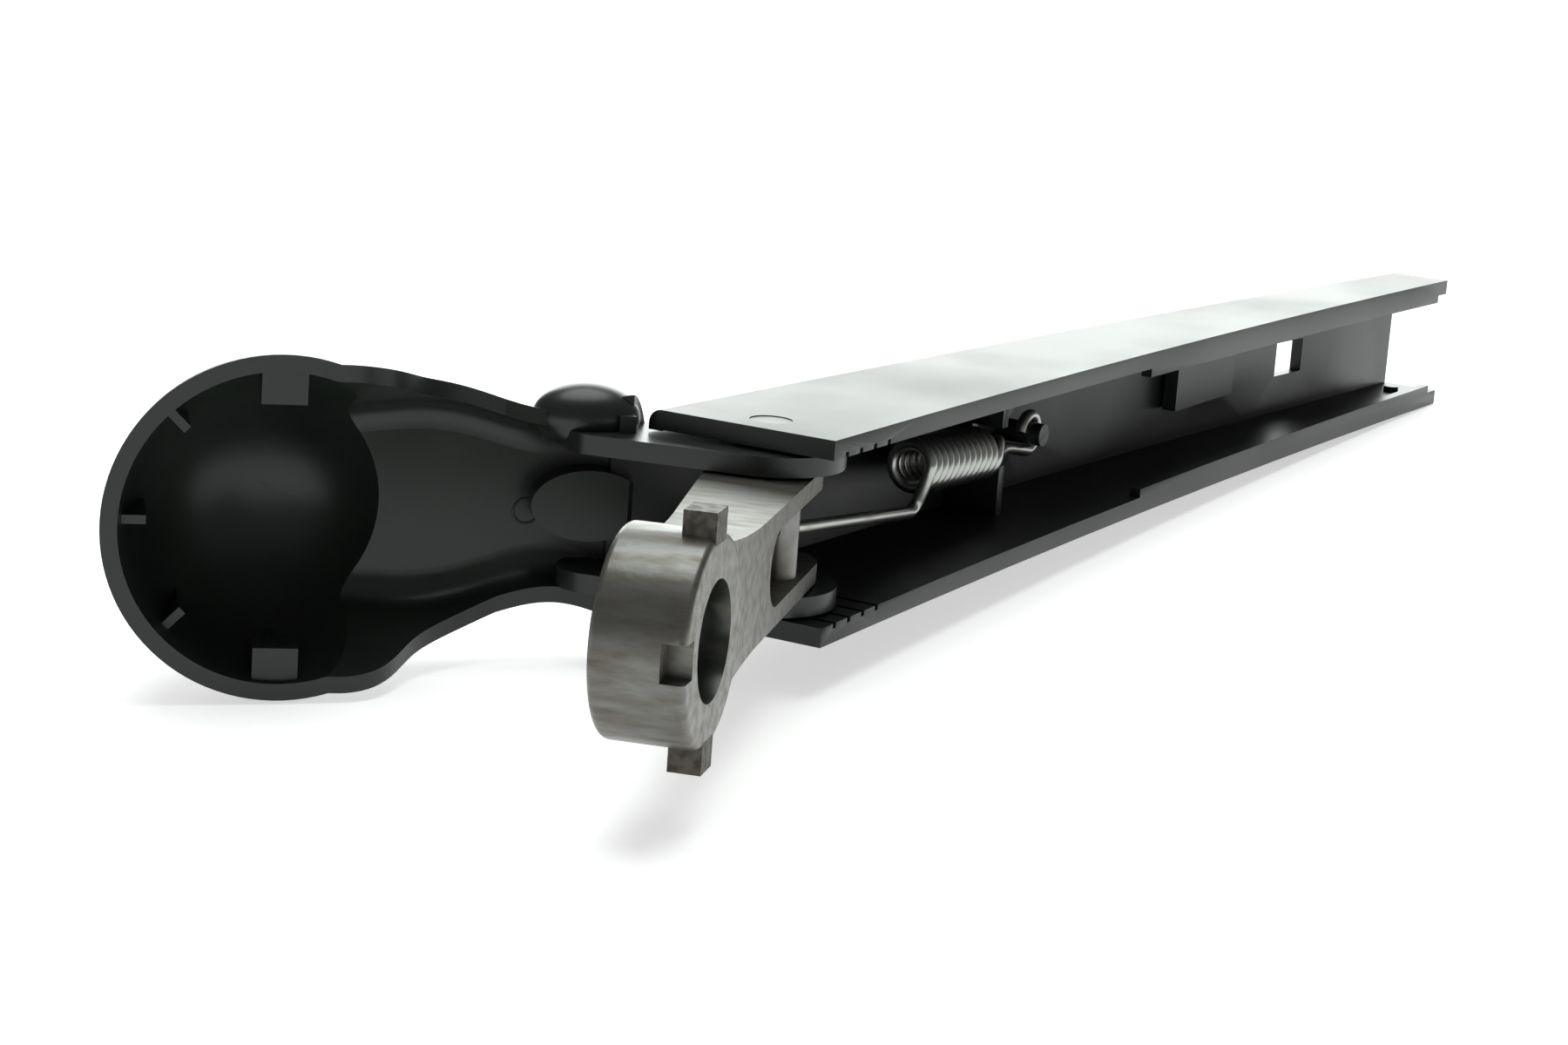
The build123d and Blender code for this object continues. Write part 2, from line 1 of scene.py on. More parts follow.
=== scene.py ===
"""Looks of the wiper arm: finishes on the CAD pieces, a fine spring wire, and the studio around them."""
import json
import logging
import math
from dataclasses import dataclass
from enum import Enum
from typing import Sequence

import bmesh
import bpy
from mathutils import Matrix, Vector


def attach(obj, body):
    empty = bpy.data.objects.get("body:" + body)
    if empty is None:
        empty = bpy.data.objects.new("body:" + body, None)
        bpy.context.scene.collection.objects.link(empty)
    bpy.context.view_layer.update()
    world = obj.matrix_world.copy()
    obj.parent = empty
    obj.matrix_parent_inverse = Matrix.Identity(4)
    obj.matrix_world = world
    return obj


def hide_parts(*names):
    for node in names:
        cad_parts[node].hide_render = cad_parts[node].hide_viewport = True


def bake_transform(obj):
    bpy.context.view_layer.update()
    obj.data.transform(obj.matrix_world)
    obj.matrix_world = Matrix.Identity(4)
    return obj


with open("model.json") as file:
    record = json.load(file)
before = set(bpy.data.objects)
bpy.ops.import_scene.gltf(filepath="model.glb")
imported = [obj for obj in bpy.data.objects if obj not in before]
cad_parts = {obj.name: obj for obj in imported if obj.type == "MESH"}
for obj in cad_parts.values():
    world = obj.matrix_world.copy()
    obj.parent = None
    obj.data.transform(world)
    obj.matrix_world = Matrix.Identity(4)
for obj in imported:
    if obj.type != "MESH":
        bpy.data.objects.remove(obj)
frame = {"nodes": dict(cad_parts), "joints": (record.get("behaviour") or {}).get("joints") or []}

LOG = logging.getLogger("wiper_arm")
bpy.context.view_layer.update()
MM = 0.001
EDGE_WELD = 0.001
EDGE_STEPS = 2
EDGE_ANGLE = 40.0
PATCH_DETAIL = 5.0
GRAIN_DETAIL = 3.0
GRAIN_HEIGHT = 0.05
UP = Vector((0.0, 0.0, 1.0))
WHITE = (1.0, 1.0, 1.0, 1.0)
Colour = tuple[float, float, float, float]
Triple = tuple[float, float, float]


class Body(str, Enum):
    """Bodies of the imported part."""

    HEAD = "head"
    ARM = "arm"
    CAP = "cap"


class Node(str, Enum):
    """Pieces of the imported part."""

    ARM_CHANNEL = "arm_channel"
    MOUNTING_HEAD = "mounting_head"
    HINGE_PIN = "hinge_pin"
    LINK_PIN = "spring_link_pin"
    SPRING = "tension_spring"
    NUT_CAP = "nut_cap"


class Joint(str, Enum):
    """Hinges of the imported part."""

    ARM = "arm_hinge"
    CAP = "cap_hinge"


class Slot(str, Enum):
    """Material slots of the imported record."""

    PLASTIC = "black_plastic"
    SPRING = "spring_steel"


def hinge_place(joint: Joint) -> Vector:
    """Looks up where a hinge is.

    Args:
        joint: The hinge.

    Returns:
        Its place in the row frame, in metres.
    """
    found = next(item for item in frame["joints"] if item["name"] == joint.value)
    return Vector(found["pos_m"])


def show(made: bpy.types.Object) -> bpy.types.Object:
    """Puts a new object into the scene.

    Args:
        made: The object.

    Returns:
        The same object.
    """
    bpy.context.scene.collection.objects.link(made)
    return made


def group_sockets(tree: bpy.types.NodeTree, inputs: Sequence[tuple], outputs: Sequence[tuple]) -> None:
    """Adds named sockets to a node group.

    Args:
        tree: The group.
        inputs: Name, socket type and default of each input.
        outputs: Name and socket type of each output.
    """
    for name, kind, default in inputs:
        socket = tree.interface.new_socket(name=name, in_out="INPUT", socket_type=kind)
        socket.default_value = default
    for name, kind in outputs:
        tree.interface.new_socket(name=name, in_out="OUTPUT", socket_type=kind)


def cloud_mask_group() -> bpy.types.NodeTree:
    """Group that puts out a soft patchy mask, for dust, stains and handling marks.

    Returns:
        The group, made once and shared.
    """
    name = "Patchy mask"
    if name in bpy.data.node_groups:
        return bpy.data.node_groups[name]
    tree = bpy.data.node_groups.new(name, "ShaderNodeTree")
    group_sockets(
        tree,
        [
            ("Scale", "NodeSocketFloat", 60.0),
            ("Low", "NodeSocketFloat", 0.45),
            ("High", "NodeSocketFloat", 0.7),
            ("Stretch", "NodeSocketVector", (1.0, 1.0, 1.0)),
        ],
        [("Mask", "NodeSocketFloat")],
    )
    enter = tree.nodes.new("NodeGroupInput")
    leave = tree.nodes.new("NodeGroupOutput")
    place = tree.nodes.new("ShaderNodeTexCoord")
    noise = tree.nodes.new("ShaderNodeTexNoise")
    noise.inputs["Detail"].default_value = PATCH_DETAIL
    pull = tree.nodes.new("ShaderNodeVectorMath")
    pull.operation = "MULTIPLY"
    spread = tree.nodes.new("ShaderNodeMapRange")
    spread.clamp = True
    tree.links.new(place.outputs["Object"], pull.inputs[0])
    tree.links.new(enter.outputs["Stretch"], pull.inputs[1])
    tree.links.new(pull.outputs["Vector"], noise.inputs["Vector"])
    tree.links.new(enter.outputs["Scale"], noise.inputs["Scale"])
    tree.links.new(noise.outputs["Fac"], spread.inputs["Value"])
    tree.links.new(enter.outputs["Low"], spread.inputs["From Min"])
    tree.links.new(enter.outputs["High"], spread.inputs["From Max"])
    tree.links.new(spread.outputs["Result"], leave.inputs["Mask"])
    return tree


def grain_group() -> bpy.types.NodeTree:
    """Group that puts out a normal for fine moulded or cast grain.

    Returns:
        The group, made once and shared.
    """
    name = "Fine grain"
    if name in bpy.data.node_groups:
        return bpy.data.node_groups[name]
    tree = bpy.data.node_groups.new(name, "ShaderNodeTree")
    group_sockets(
        tree,
        [("Scale", "NodeSocketFloat", 2500.0), ("Depth", "NodeSocketFloat", 0.1)],
        [("Normal", "NodeSocketVector")],
    )
    enter = tree.nodes.new("NodeGroupInput")
    leave = tree.nodes.new("NodeGroupOutput")
    place = tree.nodes.new("ShaderNodeTexCoord")
    noise = tree.nodes.new("ShaderNodeTexNoise")
    noise.inputs["Detail"].default_value = GRAIN_DETAIL
    bump = tree.nodes.new("ShaderNodeBump")
    bump.inputs["Distance"].default_value = GRAIN_HEIGHT * MM
    tree.links.new(place.outputs["Object"], noise.inputs["Vector"])
    tree.links.new(enter.outputs["Scale"], noise.inputs["Scale"])
    tree.links.new(noise.outputs["Fac"], bump.inputs["Height"])
    tree.links.new(enter.outputs["Depth"], bump.inputs["Strength"])
    tree.links.new(bump.outputs["Normal"], leave.inputs["Normal"])
    return tree


@dataclass(frozen=True)
class Finish:
    """A surface finish with patches of a second tone and a fine grain.

    Attributes:
        name: Name of the material.
        tone: Main colour.
        patch: Colour of the patches.
        metallic: Metalness of the whole surface.
        rough: Roughness of the main surface and of the patches.
        patch_scale: How many patches to the metre.
        patch_range: Noise levels between which a patch fades in.
        grain_scale: Grain to the metre.
        grain_depth: Strength of the grain.
        specular: Specular level.
        stretch: How much finer the patches are along each axis.
    """

    name: str
    tone: Colour
    patch: Colour
    metallic: float
    rough: tuple[float, float]
    patch_scale: float
    patch_range: tuple[float, float]
    grain_scale: float
    grain_depth: float
    specular: float = 0.5
    stretch: Triple = (1.0, 1.0, 1.0)

    def material(self) -> bpy.types.Material:
        """Builds the finish as a material, once.

        Returns:
            The material.
        """
        if self.name in bpy.data.materials:
            return bpy.data.materials[self.name]
        made = bpy.data.materials.new(self.name)
        made.use_nodes = True
        nodes, links = made.node_tree.nodes, made.node_tree.links
        shader = nodes["Principled BSDF"]
        shader.inputs["Metallic"].default_value = self.metallic
        shader.inputs["Specular IOR Level"].default_value = self.specular
        mask = nodes.new("ShaderNodeGroup")
        mask.node_tree = cloud_mask_group()
        mask.inputs["Scale"].default_value = self.patch_scale
        mask.inputs["Stretch"].default_value = self.stretch
        mask.inputs["Low"].default_value, mask.inputs["High"].default_value = self.patch_range
        colour = nodes.new("ShaderNodeMix")
        colour.data_type = "RGBA"
        colour.inputs["A"].default_value = self.tone
        colour.inputs["B"].default_value = self.patch
        rough = nodes.new("ShaderNodeMapRange")
        rough.inputs["To Min"].default_value, rough.inputs["To Max"].default_value = self.rough
        grain = nodes.new("ShaderNodeGroup")
        grain.node_tree = grain_group()
        grain.inputs["Scale"].default_value = self.grain_scale
        grain.inputs["Depth"].default_value = self.grain_depth
        links.new(mask.outputs["Mask"], colour.inputs["Factor"])
        links.new(mask.outputs["Mask"], rough.inputs["Value"])
        links.new(colour.outputs["Result"], shader.inputs["Base Color"])
        links.new(rough.outputs["Result"], shader.inputs["Roughness"])
        links.new(grain.outputs["Normal"], shader.inputs["Normal"])
        return made


BLACK_PLASTIC = Finish(
    name="Black moulded plastic",
    tone=(0.008, 0.011, 0.009, 1.0),
    patch=(0.018, 0.022, 0.019, 1.0),
    metallic=0.0,
    rough=(0.3, 0.4),
    patch_scale=35.0,
    patch_range=(0.42, 0.72),
    grain_scale=3200.0,
    grain_depth=0.03,
    specular=0.45,
)
SATIN_PLASTIC = Finish(
    name="Black satin plastic",
    tone=(0.008, 0.01, 0.009, 1.0),
    patch=(0.016, 0.019, 0.017, 1.0),
    metallic=0.0,
    rough=(0.34, 0.42),
    patch_scale=35.0,
    patch_range=(0.42, 0.72),
    grain_scale=3200.0,
    grain_depth=0.06,
    specular=0.32,
)
CAST_HEAD = Finish(
    name="Matte cast head",
    tone=(0.168, 0.169, 0.16, 1.0),
    patch=(0.098, 0.084, 0.064, 1.0),
    metallic=0.8,
    rough=(0.34, 0.46),
    patch_scale=650.0,
    patch_range=(0.38, 0.74),
    grain_scale=1500.0,
    grain_depth=0.35,
    stretch=(1.0, 0.28, 1.0),
)
# Bore finish: its dark tone is painted shade inside the spindle's bore; its lighter patches are random wear.
BORE_SHADE_AND_WEAR = Finish(
    name="Painted bore shade and wear",
    tone=(0.055, 0.062, 0.055, 1.0),
    patch=(0.12, 0.116, 0.1, 1.0),
    metallic=0.8,
    rough=(0.3, 0.42),
    patch_scale=300.0,
    patch_range=(0.5, 0.75),
    grain_scale=3000.0,
    grain_depth=0.1,
)
ROUGH_LUG = Finish(
    name="Rough brown casting",
    tone=(0.085, 0.075, 0.06, 1.0),
    patch=(0.04, 0.036, 0.03, 1.0),
    metallic=0.4,
    rough=(0.5, 0.6),
    patch_scale=900.0,
    patch_range=(0.4, 0.6),
    grain_scale=1500.0,
    grain_depth=0.5,
)
PIN_STEEL = Finish(
    name="Dull pin steel",
    tone=(0.2, 0.2, 0.195, 1.0),
    patch=(0.12, 0.11, 0.095, 1.0),
    metallic=1.0,
    rough=(0.34, 0.5),
    patch_scale=180.0,
    patch_range=(0.5, 0.75),
    grain_scale=4000.0,
    grain_depth=0.08,
)
DARK_STEEL = Finish(
    name="Blackened pin steel",
    tone=(0.03, 0.03, 0.03, 1.0),
    patch=(0.05, 0.047, 0.043, 1.0),
    metallic=0.0,
    rough=(0.36, 0.44),
    patch_scale=180.0,
    patch_range=(0.5, 0.75),
    grain_scale=4000.0,
    grain_depth=0.03,
    specular=0.3,
)
SPRING_STEEL = Finish(
    name="Bright spring wire",
    tone=(0.4, 0.41, 0.39, 1.0),
    patch=(0.24, 0.21, 0.17, 1.0),
    metallic=1.0,
    rough=(0.28, 0.42),
    patch_scale=150.0,
    patch_range=(0.55, 0.78),
    grain_scale=5000.0,
    grain_depth=0.05,
)


def finish_node(node: Node, finish: Finish, edge: float = 0.0) -> bpy.types.Object:
    """Gives a CAD piece its finish.

    Args:
        node: The piece.
        finish: What it is finished in.
        edge: Rounding of its sharp edges in millimetres, none if it is 0.

    Returns:
        The piece's object.
    """
    piece = frame["nodes"][node.value]
    piece.data.materials.clear()
    piece.data.materials.append(finish.material())
    if edge:
        weld = piece.modifiers.new("weld", "WELD")
        weld.merge_threshold = EDGE_WELD * MM
        bevel = piece.modifiers.new("edges", "BEVEL")
        bevel.width = edge * MM
        bevel.segments = EDGE_STEPS
        bevel.limit_method = "ANGLE"
        bevel.angle_limit = math.radians(EDGE_ANGLE)
        bevel.use_clamp_overlap = True
    LOG.info("finished %s in %s", node.value, finish.name)
    return piece


@dataclass
class MountingHead:
    """Cast head with its link pin.

    Attributes:
        casting: Finish of the head.
        seat: Finish of the spindle's bore, whose dark tone is painted shade inside the bore and whose
            lighter patches are wear.
        lug: Finish of the two lugs.
        pin: Finish of the link pin.
        edge: Rounding of the head's edges in millimetres.
        seat_radius: Within this radius, in millimetres, a face belongs to the bore.
        seat_lean: Past this share of Y in its normal, a face belongs to an end of the boss.
        lug_half: Half the width of a lug in millimetres, and a little more.
        lug_start: Height over the bore's axis, in millimetres, from which a face is on a lug.
    """

    casting: Finish = CAST_HEAD
    # The seat's dark tone is painted shade inside the bore.
    seat: Finish = BORE_SHADE_AND_WEAR
    lug: Finish = ROUGH_LUG
    pin: Finish = PIN_STEEL
    edge: float = 0.35
    seat_radius: float = 6.5
    seat_lean: float = 0.9
    lug_half: float = 2.1
    lug_start: float = 11.05

    def in_seat(self, face: bpy.types.MeshPolygon) -> bool:
        """Tells whether a face is inside the spindle's bore, which runs along Y through the origin.

        Args:
            face: A face of the head.

        Returns:
            Whether it is.
        """
        inside = math.hypot(face.center.x, face.center.z) < self.seat_radius * MM
        return inside and abs(face.normal.y) < self.seat_lean

    def on_lug(self, face: bpy.types.MeshPolygon) -> bool:
        """Tells whether a face is on one of the two lugs, above and below the boss.

        Args:
            face: A face of the head.

        Returns:
            Whether it is.
        """
        beside = abs(face.center.x) < self.lug_half * MM
        return beside and abs(face.center.z) > self.lug_start * MM

    def build(self) -> None:
        """Finishes the head's pieces, with the lugs in a finish of their own and the seat in a darker one
        that paints the shade inside the bore.
        """
        head = finish_node(Node.MOUNTING_HEAD, self.casting, self.edge)
        for finish, chosen in ((self.seat, self.in_seat), (self.lug, self.on_lug)):
            head.data.materials.append(finish.material())
            for face in filter(chosen, head.data.polygons):
                face.material_index = len(head.data.materials) - 1
        finish_node(Node.LINK_PIN, self.pin)


@dataclass
class ArmChannel:
    """Moulded channel with the hinge pin pressed into its walls.

    Attributes:
        moulding: Finish of the channel.
        pin: Finish of the hinge pin.
        edge: Rounding of the channel's edges in millimetres.
    """

    moulding: Finish = SATIN_PLASTIC
    pin: Finish = DARK_STEEL
    edge: float = 0.3

    def build(self) -> None:
        """Finishes the arm's pieces."""
        finish_node(Node.ARM_CHANNEL, self.moulding, self.edge)
        finish_node(Node.HINGE_PIN, self.pin)


@dataclass
class NutCap:
    """Hinged cap over the spindle nut.

    Sizes are in millimetres, measured from the hinge along the cap, up from its rim and across.

    Attributes:
        moulding: Finish of the cap and its details.
        turn: Degrees by which the open cap is turned.
        lobe_place: Middle of the lobe on the shoulder.
        lobe_size: Its three radii.
        lobe_segments: Its segments round and from pole to pole.
        mark_place: Place of the moulding mark, along and across.
        mark_radius: Radius of the mark.
        mark_wire: Half the thickness of its line.
        mark_steps: Steps round the mark.
        mark_sides: Sides of its line.
    """

    moulding: Finish = BLACK_PLASTIC
    turn: float = -64.0
    lobe_place: Triple = (-20.2, 7.3, 10.4)
    lobe_size: Triple = (6.3, 4.4, 3.8)
    lobe_segments: tuple[int, int] = (40, 24)
    mark_place: tuple[float, float] = (-26.4, -1.5)
    mark_radius: float = 1.5
    mark_wire: float = 0.16
    mark_steps: int = 48
    mark_sides: int = 8

    def place(self) -> Matrix:
        """Turns the cap's own millimetres, from the hinge, into the row frame."""
        turn = Matrix.Rotation(math.radians(self.turn), 4, "Z")
        return Matrix.Translation(hinge_place(Joint.CAP)) @ turn @ Matrix.Scale(MM, 4)

    def add(self, name: str, shape: bmesh.types.BMesh) -> None:
        """Puts a moulded detail on the cap.

        Args:
            name: Name of the detail.
            shape: Its mesh in the row frame, freed here.
        """
        mesh = bpy.data.meshes.new(name)
        for face in shape.faces:
            face.smooth = True
        shape.to_mesh(mesh)
        shape.free()
        mesh.materials.append(self.moulding.material())
        made = show(bpy.data.objects.new(name, mesh))
        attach(made, Body.CAP.value)
        LOG.info("added %s", name)

    def lobe(self) -> None:
        """Rounded lobe on the upper shoulder."""
        shape = bmesh.new()
        spread = Matrix.Translation(self.lobe_place) @ Matrix.Diagonal((*self.lobe_size, 1.0))
        bmesh.ops.create_uvsphere(
            shape,
            u_segments=self.lobe_segments[0],
            v_segments=self.lobe_segments[1],
            radius=1.0,
            matrix=self.place() @ spread,
        )
        self.add("cap_lobe", shape)

    def mark(self, cap: bpy.types.Object) -> None:
        """Thin round moulding mark under the roof of the neck.

        Args:
            cap: The CAD piece that carries it.
        """
        along, across = self.mark_place
        start = self.place() @ Vector((along, 0.0, across))
        out = (self.place().to_3x3() @ Vector((0.0, 1.0, 0.0))).normalized()
        found, spot, normal, _ = cap.ray_cast(start, out)
        if not found:
            raise RuntimeError("no roof above the moulding mark")
        facing = Matrix.Translation(spot) @ normal.to_track_quat("Z", "Y").to_matrix().to_4x4()
        shape = bmesh.new()
        rows = []
        for step in range(self.mark_steps):
            round_ring = Matrix.Rotation(math.tau * step / self.mark_steps, 4, "Z")
            row = []
            for side in range(self.mark_sides):
                angle = math.tau * side / self.mark_sides
                reach = self.mark_radius + self.mark_wire * math.cos(angle)
                point = Vector((reach, 0.0, self.mark_wire * math.sin(angle))) * MM
                row.append(shape.verts.new(facing @ round_ring @ point))
            rows.append(row)
        for step, row in enumerate(rows):
            after = rows[(step + 1) % len(rows)]
            for side in range(self.mark_sides):
                beside = (side + 1) % self.mark_sides
                shape.faces.new((row[side], after[side], after[beside], row[beside]))
        bmesh.ops.recalc_face_normals(shape, faces=shape.faces)
        self.add("cap_moulding_mark", shape)

    def build(self) -> None:
        """Finishes the cap and adds its small moulded details."""
        cap = finish_node(Node.NUT_CAP, self.moulding)
        self.lobe()
        self.mark(cap)


@dataclass
class SpringWire:
    """Tension spring as one fine round wire, running between the head and the arm.

    Sizes are in millimetres, measured from the hinge along the arm, out from the pin and across.

    Attributes:
        arm_angle: Degrees by which the arm is turned at rest.
        wire_radius: Radius of the wire.
        coil_radius: Radius of the coil's middle line.
        coil_start: Start of the coil's axis.
        coil_end: End of the coil's axis.
        coil_turns: Turns of the coil.
        coil_steps: Control points to a turn.
        elbow: From the coil's first point to the corner of the leg.
        elbow_round: How far from the corner the bend begins.
        elbow_steps: Steps round the bend.
        leg_overhang: How far the leg stands out past the link pin.
        leg_steps: Control points along the leg.
        link_offset: From the hinge to the link pin, in the row's directions.
        post: Middle of the loop round the post.
        loop_radius: Radius of the loop's middle line.
        loop_turns: First and last angle of the loop in degrees.
        loop_step: Degrees from one control point of the loop to the next.
        tail: Steps from the coil's last point to the loop.
        sides: Sides of the wire.
        smoothness: Order of the curve, and its steps between control points.
        finish: Finish of the wire.
    """

    arm_angle: float = -16.0
    wire_radius: float = 0.8
    coil_radius: float = 2.85
    coil_start: Triple = (38.4, 1.0, 0.8)
    coil_end: Triple = (60.0, 2.2, -0.7)
    coil_turns: int = 12
    coil_steps: int = 24
    elbow: Triple = (0.0, 2.0, -5.8)
    elbow_round: float = 2.2
    elbow_steps: int = 8
    leg_overhang: float = 4.5
    leg_steps: int = 24
    link_offset: Triple = (-8.0, -3.8, 1.0)
    post: Triple = (77.0, 3.0, -0.4)
    loop_radius: float = 2.47
    loop_turns: tuple[int, int] = (-100, 170)
    loop_step: int = 15
    tail: tuple[Triple, ...] = (
        (0.7, 0.3, 1.3),
        (1.2, 0.65, 0.5),
        (1.2, 0.6, -0.8),
        (1.0, 0.4, -1.2),
        (1.5, 0.5, -0.6),
        (3.0, 0.7, 0.3),
    )
    sides: int = 14
    smoothness: int = 3
    finish: Finish = SPRING_STEEL

    def place(self, point: Vector) -> Vector:
        """Turns a point in the arm's own directions into the row frame.

        Args:
            point: Along, out and across, in millimetres.

        Returns:
            The point in the row frame, in metres.
        """
        turn = Matrix.Rotation(math.radians(self.arm_angle), 3, "Z")
        return hinge_place(Joint.ARM) + turn @ (point * MM)

    def link(self) -> Vector:
        """Where the wire crosses the link pin, in the arm's own directions."""
        turn = Matrix.Rotation(math.radians(-self.arm_angle), 3, "Z")
        return turn @ Vector(self.link_offset)

    def leg(self, top: Vector) -> list[Vector]:
        """Straight leg through the link pin and the elbow up to the coil.

        Args:
            top: Where the coil begins.

        Returns:
            Control points of the leg.
        """
        corner = top + Vector(self.elbow)
        along = (corner - self.link()).normalized()
        start = self.link() - along * self.leg_overhang
        end = corner - along * self.elbow_round
        up = corner + (top - corner).normalized() * self.elbow_round
        points = [start.lerp(end, step / self.leg_steps) for step in range(self.leg_steps)]
        for step in range(self.elbow_steps + 1):
            share = step / self.elbow_steps
            points.append(end.lerp(corner, share).lerp(corner.lerp(up, share), share))
        return points

    def coil(self) -> list[Vector]:
        """Closed coil on its own line between the elbow and the bulkhead.

        Returns:
            Control points of the coil.
        """
        start = Vector(self.coil_start)
        axis = Vector(self.coil_end) - start
        out = UP.cross(axis).normalized()
        up = axis.cross(out).normalized()
        count = self.coil_turns * self.coil_steps
        points = []
        for step in range(count + 1):
            turn = math.tau * step / self.coil_steps
            ring = up * math.sin(turn) - out * math.cos(turn)
            points.append(start + axis * (step / count) + ring * self.coil_radius)
        return points

    def hook(self, start: Vector) -> list[Vector]:
        """Hook from the coil through the bulkhead and round the post.

        Args:
            start: Where the coil ends.

        Returns:
            Control points of the hook.
        """
        points = []
        for step in self.tail:
            start = start + Vector(step)
            points.append(start)
        first, last = self.loop_turns
        for angle in range(first, last + 1, self.loop_step):
            turn = math.radians(angle)
            ring = Vector((math.cos(turn), 0.0, math.sin(turn)))
            points.append(Vector(self.post) + ring * self.loop_radius)
        return points

    def path(self) -> bpy.types.Object:
        """Curve along the middle of the wire.

        Returns:
            The curve's object.
        """
        coil = self.coil()
        points = self.leg(coil[0]) + coil + self.hook(coil[-1])
        data = bpy.data.curves.new("spring_path", "CURVE")
        data.dimensions = "3D"
        line = data.splines.new("NURBS")
        line.points.add(len(points) - 1)
        for target, point in zip(line.points, points):
            target.co = (*self.place(point), 1.0)
        line.order_u = self.smoothness
        line.use_endpoint_u = True
        line.resolution_u = self.smoothness
        return show(bpy.data.objects.new("spring_path", data))

    def tree(self) -> bpy.types.NodeTree:
        """Geometry tree that gives the path its round wire.

        Returns:
            The tree.
        """
        tree = bpy.data.node_groups.new("Round wire", "GeometryNodeTree")
        tree.interface.new_socket(name="Geometry", in_out="INPUT", socket_type="NodeSocketGeometry")
        radius = tree.interface.new_socket(name="Wire radius", in_out="INPUT", socket_type="NodeSocketFloat")
        radius.default_value = self.wire_radius * MM
        tree.interface.new_socket(name="Geometry", in_out="OUTPUT", socket_type="NodeSocketGeometry")
        enter = tree.nodes.new("NodeGroupInput")
        leave = tree.nodes.new("NodeGroupOutput")
        ring = tree.nodes.new("GeometryNodeCurvePrimitiveCircle")
        ring.inputs["Resolution"].default_value = self.sides
        skin = tree.nodes.new("GeometryNodeCurveToMesh")
        skin.inputs["Fill Caps"].default_value = True
        smooth = tree.nodes.new("GeometryNodeSetShadeSmooth")
        real = tree.nodes.new("GeometryNodeRealizeInstances")
        paint = tree.nodes.new("GeometryNodeSetMaterial")
        paint.inputs["Material"].default_value = self.finish.material()
        tree.links.new(enter.outputs["Wire radius"], ring.inputs["Radius"])
        tree.links.new(enter.outputs["Geometry"], skin.inputs["Curve"])
        tree.links.new(ring.outputs["Curve"], skin.inputs["Profile Curve"])
        tree.links.new(skin.outputs["Mesh"], smooth.inputs["Geometry"])
        tree.links.new(smooth.outputs["Geometry"], real.inputs["Geometry"])
        tree.links.new(real.outputs["Geometry"], paint.inputs["Geometry"])
        tree.links.new(paint.outputs["Geometry"], leave.inputs["Geometry"])
        return tree

    def build(self) -> None:
        """Makes the wire, in place of the CAD spring, which it hides."""
        path = self.path()
        modifier = path.modifiers.new("wire", "NODES")
        modifier.node_group = self.tree()
        graph = bpy.context.evaluated_depsgraph_get()
        mesh = bpy.data.meshes.new_from_object(path.evaluated_get(graph), depsgraph=graph)
        path.modifiers.remove(modifier)
        bpy.data.objects.remove(path)
        wire = show(bpy.data.objects.new("spring_wire", mesh))
        mesh.materials.clear()
        mesh.materials.append(self.finish.material())
        self.place(self.link())
        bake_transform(wire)
        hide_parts(Node.SPRING.value)
        LOG.info("added %s", wire.name)


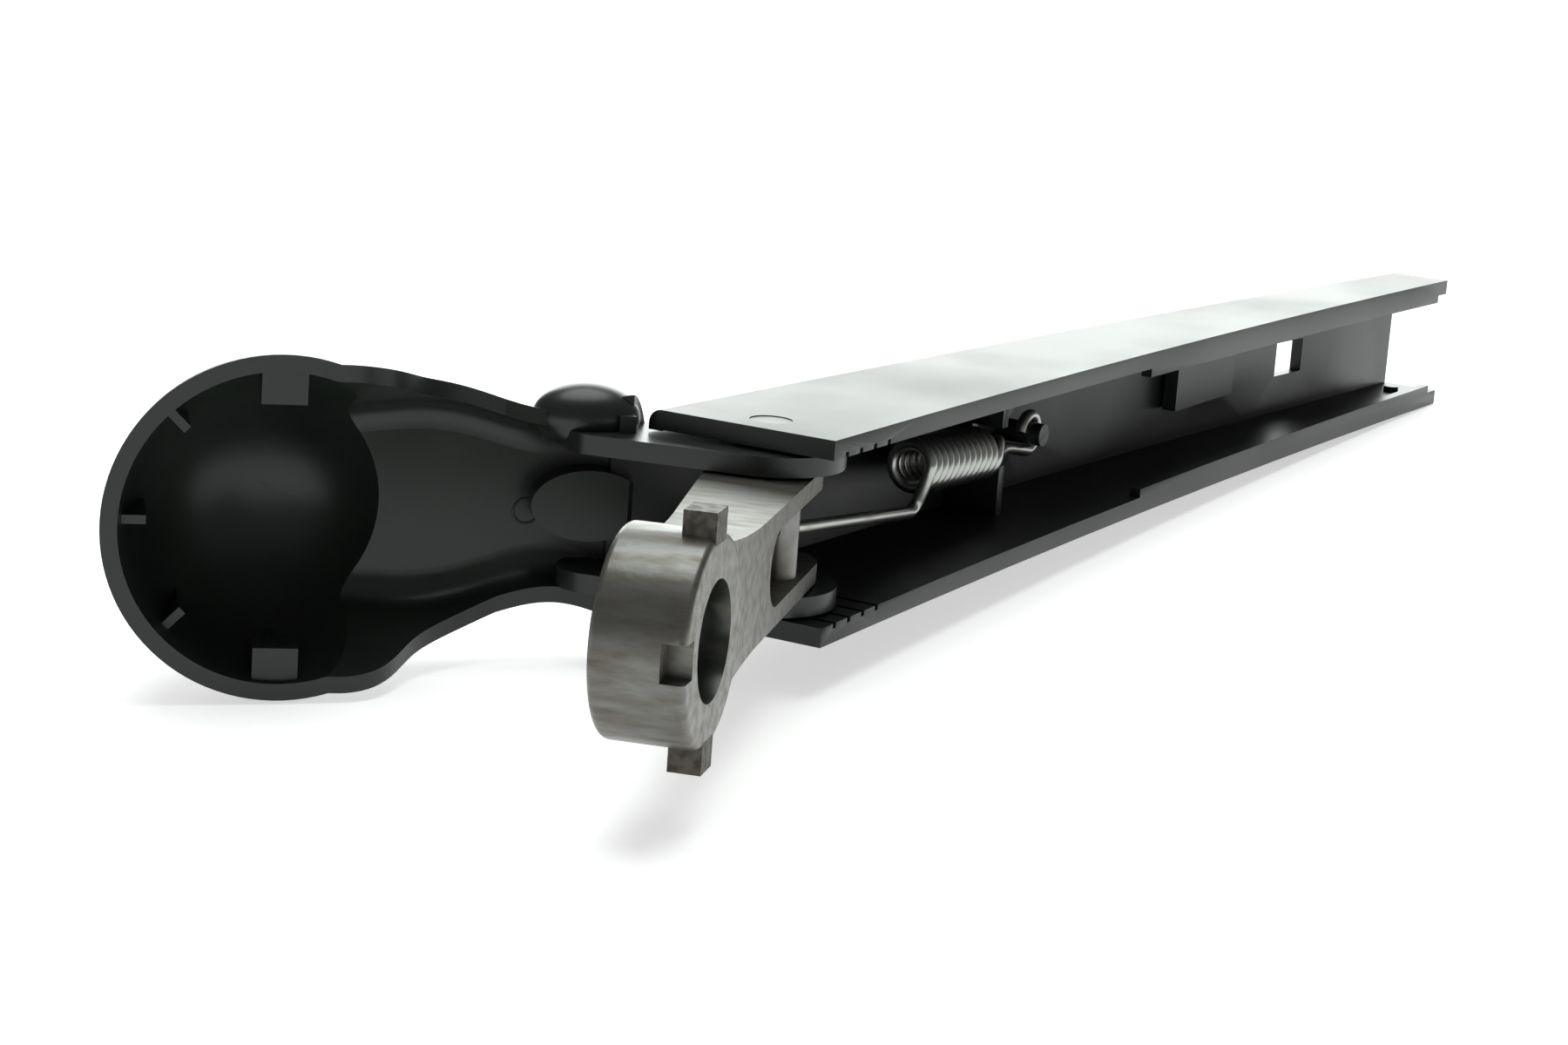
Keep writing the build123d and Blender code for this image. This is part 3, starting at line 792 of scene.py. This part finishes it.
@dataclass(frozen=True)
class Studio:
    """White table, soft light and the camera of the photograph.

    Attributes:
        eye: Camera place in millimetres.
        yaw: Heading of the camera in degrees, from +Y towards +X.
        pitch: Degrees that it looks down.
        roll: Degrees that it leans.
        lens: Focal length in millimetres.
        sensor: Width of the sensor in millimetres.
        clip: Nearest and farthest that the camera sees, in metres.
        rest_cap: Lowest point of the open cap, on the table.
        rest_tip: Lowest point of the arm's tip, on the table.
        table_size: Width of the table in metres.
        table_tone: Colour of the table.
        table_rough: Roughness of the table.
        table_specular: Specular level of the table.
        table_glow: Light that the table gives by itself.
        surround: Light of the surroundings.
        tint: Colour of both lamps.
        sky_heading: Direction in which the light from above travels.
        sky_spread: Its width in degrees, as seen from the table.
        sky_strength: Its light on a face square to it.
        box_place: Where the soft box stands, in metres.
        box_aim: What it points at, in metres.
        box_size: Its width in metres.
        box_power: Its power in watts.
    """

    eye: Triple = (-307.59, -76.34, 82.83)
    yaw: float = 77.149
    pitch: float = 12.509
    roll: float = 4.124
    lens: float = 76.0
    sensor: float = 36.0
    clip: tuple[float, float] = (0.01, 100.0)
    rest_cap: Triple = (31.4, 59.3, -19.6)
    rest_tip: Triple = (252.0, -55.0, -10.6)
    table_size: float = 6.0
    table_tone: Colour = (0.9, 0.9, 0.9, 1.0)
    table_rough: float = 0.9
    table_specular: float = 0.1
    table_glow: float = 0.55
    surround: float = 0.2
    tint: Triple = (0.95, 1.0, 0.97)
    sky_heading: Triple = (-0.2, -0.05, -1.0)
    sky_spread: float = 50.0
    sky_strength: float = 2.0
    box_place: Triple = (1.6, 0.3, 0.35)
    box_aim: Triple = (0.1, 0.0, 0.0)
    box_size: float = 1.4
    box_power: float = 24.0

    def camera(self) -> None:
        """Adds the camera at the photograph's place."""
        yaw, pitch, roll = (math.radians(angle) for angle in (self.yaw, self.pitch, self.roll))
        level = Vector((math.sin(yaw), math.cos(yaw), 0.0))
        ahead = level * math.cos(pitch) - UP * math.sin(pitch)
        right = ahead.cross(UP).normalized()
        up = right.cross(ahead)
        lean_right = right * math.cos(roll) + up * math.sin(roll)
        lean_up = up * math.cos(roll) - right * math.sin(roll)
        data = bpy.data.cameras.new("camera")
        data.lens = self.lens
        data.sensor_width = self.sensor
        data.clip_start, data.clip_end = self.clip
        made = show(bpy.data.objects.new("camera", data))
        turn = Matrix((lean_right, lean_up, -ahead)).transposed().to_4x4()
        made.matrix_world = Matrix.Translation(Vector(self.eye) * MM) @ turn
        bpy.context.scene.camera = made

    def table(self) -> None:
        """Adds the white table, level with the cap's rim and the arm's tip."""
        low = Vector(self.rest_cap) * MM
        along = (Vector(self.rest_tip) * MM - low).normalized()
        side = UP.cross(along).normalized()
        out = along.cross(side)
        half = self.table_size / 2
        data = bpy.data.meshes.new("table")
        corners = [(-half, -half, 0), (half, -half, 0), (half, half, 0), (-half, half, 0)]
        data.from_pydata(corners, [], [(0, 1, 2, 3)])
        made = show(bpy.data.objects.new("table", data))
        made.matrix_world = Matrix.Translation(low) @ Matrix((along, side, out)).transposed().to_4x4()
        white = bpy.data.materials.new("White table")
        white.use_nodes = True
        shader = white.node_tree.nodes["Principled BSDF"]
        shader.inputs["Base Color"].default_value = self.table_tone
        shader.inputs["Roughness"].default_value = self.table_rough
        shader.inputs["Specular IOR Level"].default_value = self.table_specular
        shader.inputs["Emission Color"].default_value = WHITE
        shader.inputs["Emission Strength"].default_value = self.table_glow
        data.materials.append(white)

    def world(self) -> None:
        """Even, dim surroundings; the white ground is the lit table."""
        made = bpy.data.worlds.new("studio")
        bpy.context.scene.world = made
        made.use_nodes = True
        light = made.node_tree.nodes["Background"]
        light.inputs["Color"].default_value = WHITE
        light.inputs["Strength"].default_value = self.surround

    def aim(self, data: bpy.types.Light, place: Vector, heading: Vector) -> None:
        """Puts a lamp into the scene in the lamps' colour.

        Args:
            data: The lamp's light.
            place: Where it stands, in metres.
            heading: Direction in which it shines.
        """
        data.color = self.tint
        made = show(bpy.data.objects.new(data.name, data))
        turn = heading.to_track_quat("-Z", "Y").to_matrix().to_4x4()
        made.matrix_world = Matrix.Translation(place) @ turn

    def sky(self) -> None:
        """Adds one wide soft light from above that whitens the whole table."""
        data = bpy.data.lights.new("sky", "SUN")
        data.angle = math.radians(self.sky_spread)
        data.energy = self.sky_strength
        self.aim(data, Vector(), Vector(self.sky_heading))

    def far_box(self) -> None:
        """Adds the soft box beyond the tip, which the upper wall reflects."""
        data = bpy.data.lights.new("far box", "AREA")
        data.size = self.box_size
        data.energy = self.box_power
        place = Vector(self.box_place)
        self.aim(data, place, Vector(self.box_aim) - place)

    def build(self) -> None:
        """Builds the studio."""
        self.camera()
        self.table()
        self.world()
        self.sky()
        self.far_box()
        bpy.context.scene.view_settings.view_transform = "Standard"


def main() -> None:
    """Dresses every sub-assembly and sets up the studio."""
    logging.basicConfig(level=logging.INFO)
    for assembly in (MountingHead(), ArmChannel(), NutCap(), SpringWire(), Studio()):
        LOG.info("building %s", type(assembly).__name__)
        assembly.build()


if __name__ == "__main__":
    main()
